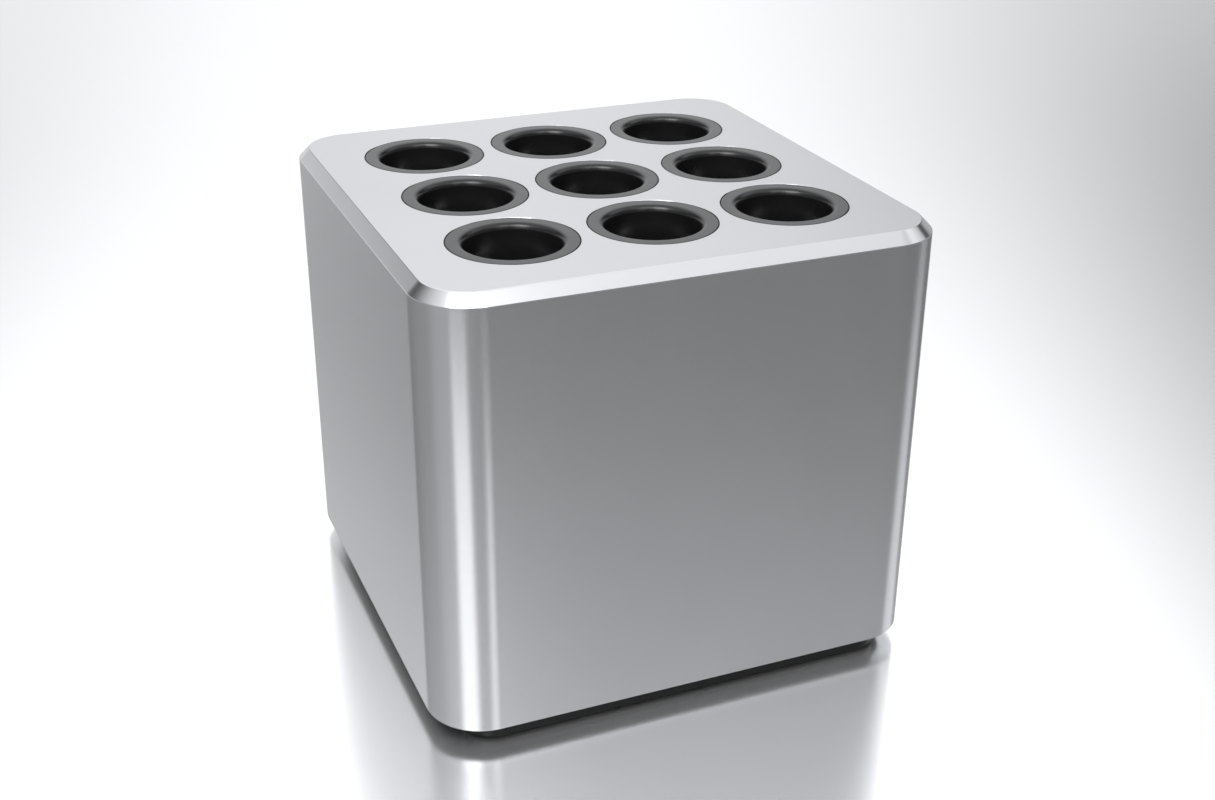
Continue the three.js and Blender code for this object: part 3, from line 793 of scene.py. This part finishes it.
def base_screw(number, node):
    """A countersunk screw with a hexagon socket, head down."""
    low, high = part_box(node)
    profile = rounded(
        [
            (0, low.z),
            (SCREW_HEAD_R, low.z),
            (SCREW_SHANK_R, low.z + SCREW_HEAD),
            (SCREW_SHANK_R, high.z - SCREW_TIP),
            (SCREW_SHANK_R - SCREW_TIP, high.z),
            (0, high.z),
        ],
        [SOFT_EDGE, CRISP_EDGE, 0, 0],
    )
    socket = hexagon(SOCKET, low.z - THROUGH, low.z + SOCKET_DEPTH)
    made = shifted(cut(turned(profile, SMALL), socket), *middle(node).to_2d())
    piece("countersunk_screw_%d" % number, made, STEEL, "screw", "heater", node)


# Control bay


def in_bay(bm, x=0.0, y=0.0, z=0.0):
    return moved(bm, Matrix.Translation((x, y, z)), BAY)


def panel_screw_holes(low, high):
    return [
        rod(PANEL_SCREW_HOLE_R, low, high, SMALL, (x, 0)) for x in (-PANEL_SCREW_X, PANEL_SCREW_X)
    ]


def rear_shroud():
    """The black surround of the bay: a flange inside the wall, a recess, and a window behind."""
    front, ledge = SHROUD_FRONT, PANEL_BACK - BAY_GAP
    outer = rounded([(0, SHROUD_BACK), (0, front), (SHROUD_RIM, front)], [EDGE_R])
    flange = [(0, z) for z in SHROUD_FLANGE]
    body = joined(
        moulded(SHROUD_WIDTH, SHROUD_HEIGHT, BAY_R - BAY_GAP, outer),
        moulded(SHROUD_FLANGE_WIDTH, SHROUD_FLANGE_HEIGHT, BAY_R, flange, 6),
    )
    width, height = SHROUD_WIDTH - 2 * SHROUD_WALL, SHROUD_HEIGHT - 2 * SHROUD_WALL
    beyond = front + EDGE_R
    mouth = [(0, ledge), (0, front - SOFT_EDGE), (-0.0004, beyond), (-0.001, beyond)]
    recess = rounded(mouth, [SOFT_EDGE, 0])
    body = cut(body, moulded(width, height, PANEL_R + BAY_GAP, recess))
    low, high = SHROUD_BACK - THROUGH, ledge + THROUGH
    window = moulded(*SHROUD_WINDOW, SHROUD_WINDOW_R, [(0, low), (0, high)], 6)
    body = cut(body, window, *panel_screw_holes(low, high))
    piece("bay_shroud", in_bay(body), BLACK_PLASTIC, "black_plastic", "heater", "rear_shroud")


def rear_panel():
    """The black panel, with the holes for what it carries."""
    profile = [
        (SOFT_EDGE, PANEL_BACK),
        (0, PANEL_BACK + SOFT_EDGE),
        (0, PANEL_FACE - SOFT_EDGE),
        (SOFT_EDGE, PANEL_FACE),
    ]
    low, high = PANEL_BACK - THROUGH, PANEL_FACE + THROUGH
    window = moulded(*SWITCH_HOLE, SWITCH_HOLE_R, [(0, low), (0, high)], 6)
    body = cut(
        moulded(PANEL_WIDTH, PANEL_HEIGHT, PANEL_R, profile),
        shifted(window, SWITCH_X, 0),
        rod(INLET_HOLE_R, low, high, FINE, (INLET_X, 0)),
        rod(SHAFT_HOLE_R, low, high, FINE, (KNOB_X, 0)),
        *[rod(LENS_HOLE_R, low, high, SMALL, (LENS_X, y)) for y in (-LENS_Y, LENS_Y)],
        *panel_screw_holes(low, high),
    )
    piece("control_panel", in_bay(body), PANEL_BLACK, "panel", "heater", "rear_panel")


def panel_screw(number, node):
    """A cap screw with a hexagon socket."""
    head_r, head = PANEL_SCREW_HEAD_R, PANEL_SCREW_HEAD
    shank_r, shank = PANEL_SCREW_SHANK_R, PANEL_SCREW_SHANK
    profile = rounded(
        [(0, -shank), (shank_r, -shank), (shank_r, 0), (head_r, 0), (head_r, head), (0, head)],
        [0, 0, CRISP_EDGE, EDGE_R],
    )
    socket = hexagon(PANEL_SOCKET, head - PANEL_SOCKET_DEPTH, head + THROUGH)
    made = in_bay(cut(turned(profile, SMALL), socket), -middle(node).x, 0, SEAT)
    piece("panel_cap_screw_%d" % number, made, STEEL, "screw", "heater", node)


def dc_inlet():
    """The inlet's black shell, with the contact pin and the sleeve inside its bore."""
    front, bore = INLET_FRONT, INLET_BORE_R
    profile = rounded(
        [
            (0, INLET_BACK),
            (INLET_R, INLET_BACK),
            (INLET_R, SEAT),
            (INLET_FLANGE_R, SEAT),
            (INLET_FLANGE_R, front),
            (bore + INLET_MOUTH, front),
            (bore, front - INLET_MOUTH),
            (bore, INLET_BOTTOM),
            (0, INLET_BOTTOM),
        ],
        [0, 0, CRISP_EDGE, 0.0005, CRISP_EDGE, CRISP_EDGE, 0],
    )
    shell = in_bay(turned(profile, FINE), INLET_X)
    piece("inlet_shell", shell, BLACK_PLASTIC, "black_plastic", "heater", "dc_inlet")
    pin, root, tip = INLET_PIN_R, INLET_BOTTOM - SOFT_EDGE, SEAT
    profile = rounded(
        [(0, root), (pin, root), (pin, tip - 0.0004), (pin - INLET_PIN_TIP, tip), (0, tip)],
        [0, SOFT_EDGE, SOFT_EDGE],
    )
    contact = in_bay(turned(profile, SMALL), INLET_X)
    piece("inlet_pin", contact, STEEL, "screw", "heater")
    inner, outer, root = bore - 0.00045, bore - CRISP_EDGE, INLET_BOTTOM + CRISP_EDGE
    sleeve = [(inner, root), (outer, root), (outer, SEAT - 0.001), (inner, SEAT - 0.0006)]
    ring = in_bay(turned(sleeve, FINE), INLET_X)
    piece("inlet_sleeve", ring, STEEL, "screw", "heater")


def switch_bezel():
    """The switch's rim and the box behind it, with the pocket the rocker tips in."""
    front = BEZEL_FRONT
    rim = rounded([(0, SEAT), (0, front), (2 * BEZEL_RIM, front)], [BEZEL_RIM])
    bezel = moulded(*BEZEL, BEZEL_R, rim, 10)
    box = moulded(*SWITCH_BOX, EDGE_R, [(0, SWITCH_BACK), (0, SEAT + 0.0005)], 4)
    mouth = rounded(
        [
            (0, SWITCH_BOTTOM),
            (0, front - EDGE_R),
            (-EDGE_R, front),
            (-2 * EDGE_R, front + EDGE_R),
        ],
        [CRISP_EDGE, 0],
    )
    pocket = moulded(2 * ROCKER_HALF + 0.0006, ROCKER_WIDTH + 0.0005, 0.0004, mouth, 6)
    made = in_bay(cut(joined(bezel, box), pocket), SWITCH_X)
    piece("switch_bezel", made, BLACK_PLASTIC, "black_plastic", "heater", "switch_body")


def rocker_face(x):
    """Height of the rocker's faces over its pivot: two shallow hollows that meet in a low ridge."""
    share = abs(x) / ROCKER_HALF
    rise = ROCKER_HALF * math.tan(ROCKER_TILT)
    return ROCKER_FACE + rise * share - ROCKER_HOLLOW * math.sin(math.pi * share)


def rocker_frame():
    return BAY @ Matrix.Translation((SWITCH_X, 0, PIVOT)) @ Matrix.Rotation(ROCKER_TILT, 4, "Y")


def switch_rocker():
    """The rocker, with a keel below its pivot and softened rims."""
    steps, half = 12, ROCKER_HALF
    xs = [half * (1 - i / steps) for i in range(2 * steps + 1)]
    outline = [
        (-half, ROCKER_SIDE),
        (-half / 2, ROCKER_KEEL),
        (half / 2, ROCKER_KEEL),
        (half, ROCKER_SIDE),
    ]
    outline += [(x, rocker_face(x)) for x in xs]
    bm = stacked([(outline, -ROCKER_WIDTH / 2), (outline, ROCKER_WIDTH / 2)])
    steep = math.radians(50)
    rims = [e for e in bm.edges if len(e.link_faces) == 2 and e.calc_face_angle(0) > steep]
    bmesh.ops.bevel(
        bm,
        geom=rims,
        offset=ROCKER_EDGE,
        segments=3,
        profile=0.5,
        affect="EDGES",
        clamp_overlap=True,
    )
    made = moved(bm, Matrix.Rotation(math.pi / 2, 4, "X"), rocker_frame())
    piece("rocker", made, BLACK_PLASTIC, "black_plastic", "rocker", "switch_rocker")


def rocker_marks():
    """The I and O of a switch, as thin inlays that lie on the rocker's faces."""
    proud, half = MARK_PROUD, ROCKER_HALF / 2
    bar = rectangle(MARK_LINE, MARK, 0.00015, 4)
    outer = MARK / 2 - 0.00002
    inner = outer - 0.9 * MARK_LINE
    ring = turned([(inner, 0), (outer, 0), (outer, proud), (inner, proud)], SMALL)
    shapes = [
        ("off_mark", ring, half),
        ("on_mark", stacked([(bar, 0), (bar, proud)]), -half),
    ]
    for name, bm, x in shapes:
        bmesh.ops.translate(bm, verts=bm.verts, vec=(x, 0, 0))
        for vert in bm.verts:
            vert.co.z += rocker_face(vert.co.x) - SINK
        piece(name, moved(bm, rocker_frame()), WHITE_INK, "ceramic", "rocker")


def fluted(radius, depth):
    """An outline with rounded grooves."""
    outline = []
    for x, y in polygon(1, 20 * FLUTES):
        angle = math.atan2(y, x)
        groove = max(0.0, math.cos(FLUTES * angle)) ** 1.5
        r = radius - depth * groove
        outline.append((r * x, r * y))
    return outline


def knob_frame():
    return BAY @ Matrix.Translation((KNOB_X, 0, 0)) @ Matrix.Rotation(KNOB_REST, 4, "Z")


def temperature_knob():
    """A fluted knob with a dished face and a white pointer let into it."""
    skirt, dish = KNOB_SKIRT, KNOB_FRONT - SOFT_EDGE
    profile = rounded(
        [
            (SOFT_EDGE, skirt),
            (0, skirt + SOFT_EDGE),
            (0.0003, KNOB_FRONT),
            (0.0014, KNOB_FRONT),
            (0.0016, dish),
            (0.0022, dish),
        ],
        [0, 0.0006, SOFT_EDGE, SOFT_EDGE],
    )
    loops = []
    for inset, z in profile:
        depth = FLUTE_DEPTH * max(0.0, 1 - inset / FLUTE_FADE)
        loops.append((fluted(KNOB_R - inset, depth), z))
    body = stacked(loops)
    levels = [(0, KNOB_FRONT - 0.0006), (0, THROUGH)]
    width, length = POINTER_WIDTH + 0.6 * POINTER_GAP, POINTER + 2 * POINTER_GAP
    groove = moulded(width, length, CRISP_EDGE, levels, 3)
    slot = shifted(groove, 0, KNOB_R - 0.0024)
    bush = rod(KNOB_BUSH_R, skirt - THROUGH, skirt + 0.0014, FINE)
    bore = rod(KNOB_BORE_R, skirt, KNOB_FRONT - 0.0009, SMALL)
    made = moved(cut(body, slot, joined(bush, bore)), knob_frame())
    piece("dial_knob", made, BLACK_PLASTIC, "black_plastic", "knob", "temperature_knob")
    levels = [(0, KNOB_FRONT - 0.00058), (0, KNOB_FRONT - 0.00022)]
    bar = moulded(POINTER_WIDTH, POINTER, 0.00008, levels, 3)
    pointer = moved(shifted(bar, 0, KNOB_R - 0.0023), knob_frame())
    piece("dial_pointer", pointer, WHITE_INK, "ceramic", "knob")


def dial_scale():
    """Nine printed ticks round the knob, over the sweep of its joint."""
    ticks = bmesh.new()
    levels = [(0, PANEL_FACE - SINK), (0, PANEL_FACE + TICK_THICK)]
    for i in range(TICKS):
        angle = math.pi / 2 + KNOB_REST - KNOB_SWEEP * i / (TICKS - 1)
        length = 0.0009 if i % 4 == 0 else 0.0006
        tick = moulded(length, TICK_WIDTH, SKIN, levels, 2)
        reach = KNOB_R + 0.0005 + length / 2
        moved(tick, Matrix.Translation((reach, 0, 0)), Matrix.Rotation(angle, 4, "Z"))
        mesh = bpy.data.meshes.new("tick")
        tick.to_mesh(mesh)
        tick.free()
        ticks.from_mesh(mesh)
        bpy.data.meshes.remove(mesh)
    piece("dial_ticks", in_bay(ticks, KNOB_X), WHITE_INK, "ceramic", "heater")


def lens(node, name, material):
    """An indicator's domed lens, held by a flange behind the panel."""
    back, steps = PANEL_BACK - BAY_GAP, 10
    angles = [math.pi / 2 * i / steps for i in range(steps)]
    dome = [(LENS_R * math.cos(a), PANEL_FACE + LENS_RISE * math.sin(a)) for a in angles]
    stem = [
        (0, back - LENS_LENGTH),
        (LENS_R, back - LENS_LENGTH),
        (LENS_R, back - LENS_FLANGE),
        (LENS_FLANGE_R, back - LENS_FLANGE),
        (LENS_FLANGE_R, back),
        (LENS_R, back),
    ]
    made = turned(stem + dome + [(0, PANEL_FACE + LENS_RISE)], SMALL)
    y = middle(node).z - BAY_HEIGHT
    piece(name, in_bay(made, LENS_X, y), material, node, "heater", node)


# CAD nodes that stay, inside the housing, and what they are made of

KEPT = {
    "top_insulation": FIBRE,
    "insulation_wrap": FIBRE,
    "insulation_pad": FIBRE,
    "heater_mat": SILICONE,
    "block_tray": PLATED,
    "temperature_probe": STEEL,
    "thermal_cutout": BLACK_PLASTIC,
    "controller_board": CIRCUIT,
    "heat_sink": PANEL_BLACK,
    "power_transistor": BLACK_PLASTIC,
    "input_capacitor": BLACK_PLASTIC,
    "terminal_block": CIRCUIT,
    "inlet_nut": STEEL,
    "potentiometer_body": CIRCUIT,
    "potentiometer_shaft": STEEL,
    "heater_lead": WIRE,
    "probe_lead": WIRE,
    "power_lead": WIRE,
}
KEPT_IN_FOURS = {"block_spacer": CERAMIC, "block_screw": STEEL, "corner_standoff": BRASS}


def finish_kept_nodes():
    kept = dict(KEPT)
    for name, material in KEPT_IN_FOURS.items():
        kept.update({"%s_%d" % (name, number): material for number in range(1, 5)})
    for node, material in kept.items():
        mesh = frame["nodes"][node].data
        mesh.materials.clear()
        mesh.materials.append(material)


def build():
    housing()
    for number, (node, at) in enumerate(zip(COLLARS, WELLS), 1):
        well_collar(number, node, at)
    heater_block()
    base_plate()
    for number, node in enumerate(FOOT_NODES, 1):
        foot(number, node)
    for number, node in enumerate(BASE_SCREW_NODES, 1):
        base_screw(number, node)
    rear_shroud()
    rear_panel()
    for number, node in enumerate(PANEL_SCREW_NODES, 1):
        panel_screw(number, node)
    dc_inlet()
    switch_bezel()
    switch_rocker()
    rocker_marks()
    temperature_knob()
    dial_scale()
    lens("power_lens", "power_light", GREEN_LENS)
    lens("heat_lens", "heat_light", AMBER_LENS)
    finish_kept_nodes()


# Studio


def floor():
    """A plain pale floor, glossy enough to mirror the heater as the photograph's bench does."""
    bm = bmesh.new()
    bmesh.ops.create_circle(bm, cap_ends=True, radius=FLOOR_R, segments=128)
    made = to_object("floor", bm)
    material, nodes, links, shader, place = surface("pale_floor", (0.88, 0.885, 0.89), 0.9, 0.22)
    tone = noise(nodes, links, place, 0.5)
    colours = tinted(nodes, links, tone, (0.87, 0.875, 0.88), (0.89, 0.895, 0.90))
    links.new(colours, shader.inputs["Base Color"])
    made.data.materials.append(material)


def glow(nodes, links, direction, towards, near, far, strength):
    """A soft bright patch of the surroundings, round one direction."""
    facing = nodes.new("ShaderNodeVectorMath")
    facing.operation = "DOT_PRODUCT"
    facing.inputs[1].default_value = Vector(towards).normalized()
    links.new(direction, facing.inputs[0])
    fade = nodes.new("ShaderNodeMapRange")
    fade.interpolation_type = "SMOOTHSTEP"
    fade.inputs["From Min"].default_value = math.cos(math.radians(far))
    fade.inputs["From Max"].default_value = math.cos(math.radians(near))
    fade.inputs["To Min"].default_value = 0
    fade.inputs["To Max"].default_value = strength
    links.new(facing.outputs["Value"], fade.inputs["Value"])
    return fade.outputs["Result"]


def world():
    """Soft surroundings: bright overhead, behind and at the horizon, dim in front."""
    made = bpy.data.worlds.new("studio")
    made.use_nodes = True
    scene.world = made
    nodes, links = made.node_tree.nodes, made.node_tree.links
    background = nodes["Background"]
    background.inputs["Color"].default_value = SKY_COLOUR
    direction = nodes.new("ShaderNodeTexCoord").outputs["Generated"]
    total = AMBIENT
    for towards, near, far, strength in GLOWS:
        add = nodes.new("ShaderNodeMath")
        add.operation = "ADD"
        links.new(glow(nodes, links, direction, towards, near, far, strength), add.inputs[0])
        if isinstance(total, float):
            add.inputs[1].default_value = total
        else:
            links.new(total, add.inputs[1])
        total = add.outputs["Value"]
    links.new(total, background.inputs["Strength"])


def outwards(turn, rise):
    """The direction out from the heater, turned from the front towards the right, and risen."""
    level = math.cos(rise)
    return Vector((math.sin(turn) * level, -math.cos(turn) * level, math.sin(rise)))


def panel_light(name, azimuth, elevation, distance, size, radiance):
    """A soft rectangular light that faces the heater, unseen by the camera.

    Azimuth 0 is the front, and 90 the right.
    """
    turn, rise = math.radians(azimuth), math.radians(elevation)
    data = bpy.data.lights.new(name, "AREA")
    data.shape = "RECTANGLE"
    data.size, data.size_y = size
    data.energy = radiance * math.pi * size[0] * size[1]
    light = bpy.data.objects.new(name, data)
    scene.collection.objects.link(light)
    out = outwards(turn, rise)
    light.location = Vector((0, 0, TOP / 2)) + out * distance
    light.rotation_euler = (-out).to_track_quat("-Z", "Y").to_euler()
    light.visible_camera = False


def camera():
    """The photograph's view: from the front, a little to the left and above."""
    back = outwards(CAMERA_TURN, CAMERA_RISE)
    data = bpy.data.cameras.new("camera")
    data.lens = CAMERA_LENS
    data.sensor_width = SENSOR_WIDTH
    made = bpy.data.objects.new("camera", data)
    scene.collection.objects.link(made)
    made.location = CAMERA_AIM + back * CAMERA_DISTANCE
    made.rotation_mode = "QUATERNION"
    tilt = Matrix.Rotation(CAMERA_ROLL, 4, "Z").to_quaternion()
    made.rotation_quaternion = (-back).to_track_quat("-Z", "Y") @ tilt
    scene.camera = made


build()
floor()
world()
camera()
for light in PANELS:
    panel_light(*light)
scene.view_settings.view_transform = "Standard"
